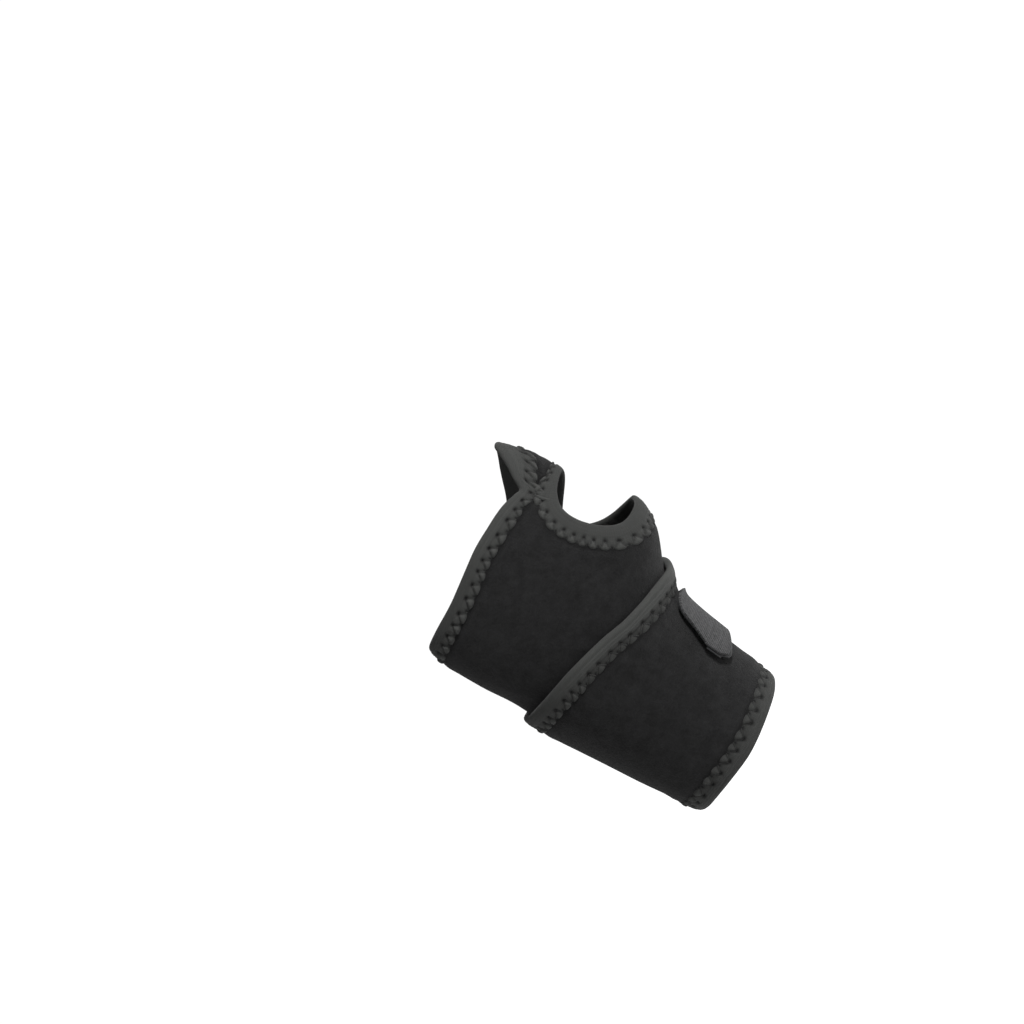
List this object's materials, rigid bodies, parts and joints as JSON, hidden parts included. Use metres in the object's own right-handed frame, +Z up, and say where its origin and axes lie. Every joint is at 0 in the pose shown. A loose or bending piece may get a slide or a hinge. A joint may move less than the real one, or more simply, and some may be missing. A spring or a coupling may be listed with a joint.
{
  "type": "thumb and wrist support wrap",
  "caption": "Soft wrap for a hand and wrist with a hole for the thumb, bound edges and a hook tab that closes it.",
  "frame": {"origin": "in the hollow for the wrist, on the line up the middle of the wrist, level with the cuff", "axes": "+Z up the wrist towards the fingers, -Y out of the palm, +X towards the thumb of a right hand"},
  "size_m": [0.0866, 0.0518, 0.127],
  "materials": {
    "neoprene": "black sponge neoprene with a brushed loop face outside and a knitted lining",
    "binding": "dark grey knitted tape, sewn down with a wide zigzag in the same colour",
    "tab": "mid grey, finely woven back of the hook tab",
    "hook": "black nylon hooks"
  },
  "bodies": {
    "root": {"neoprene_wrap": "neoprene", "finger_edge_binding": "binding", "cuff_edge_binding": "binding", "flap_end_binding": "binding", "strap_end_binding": "binding", "thumb_hole_binding": "binding", "hook_tab": "tab", "hook_patch": "hook"}
  },
  "joints": []
}
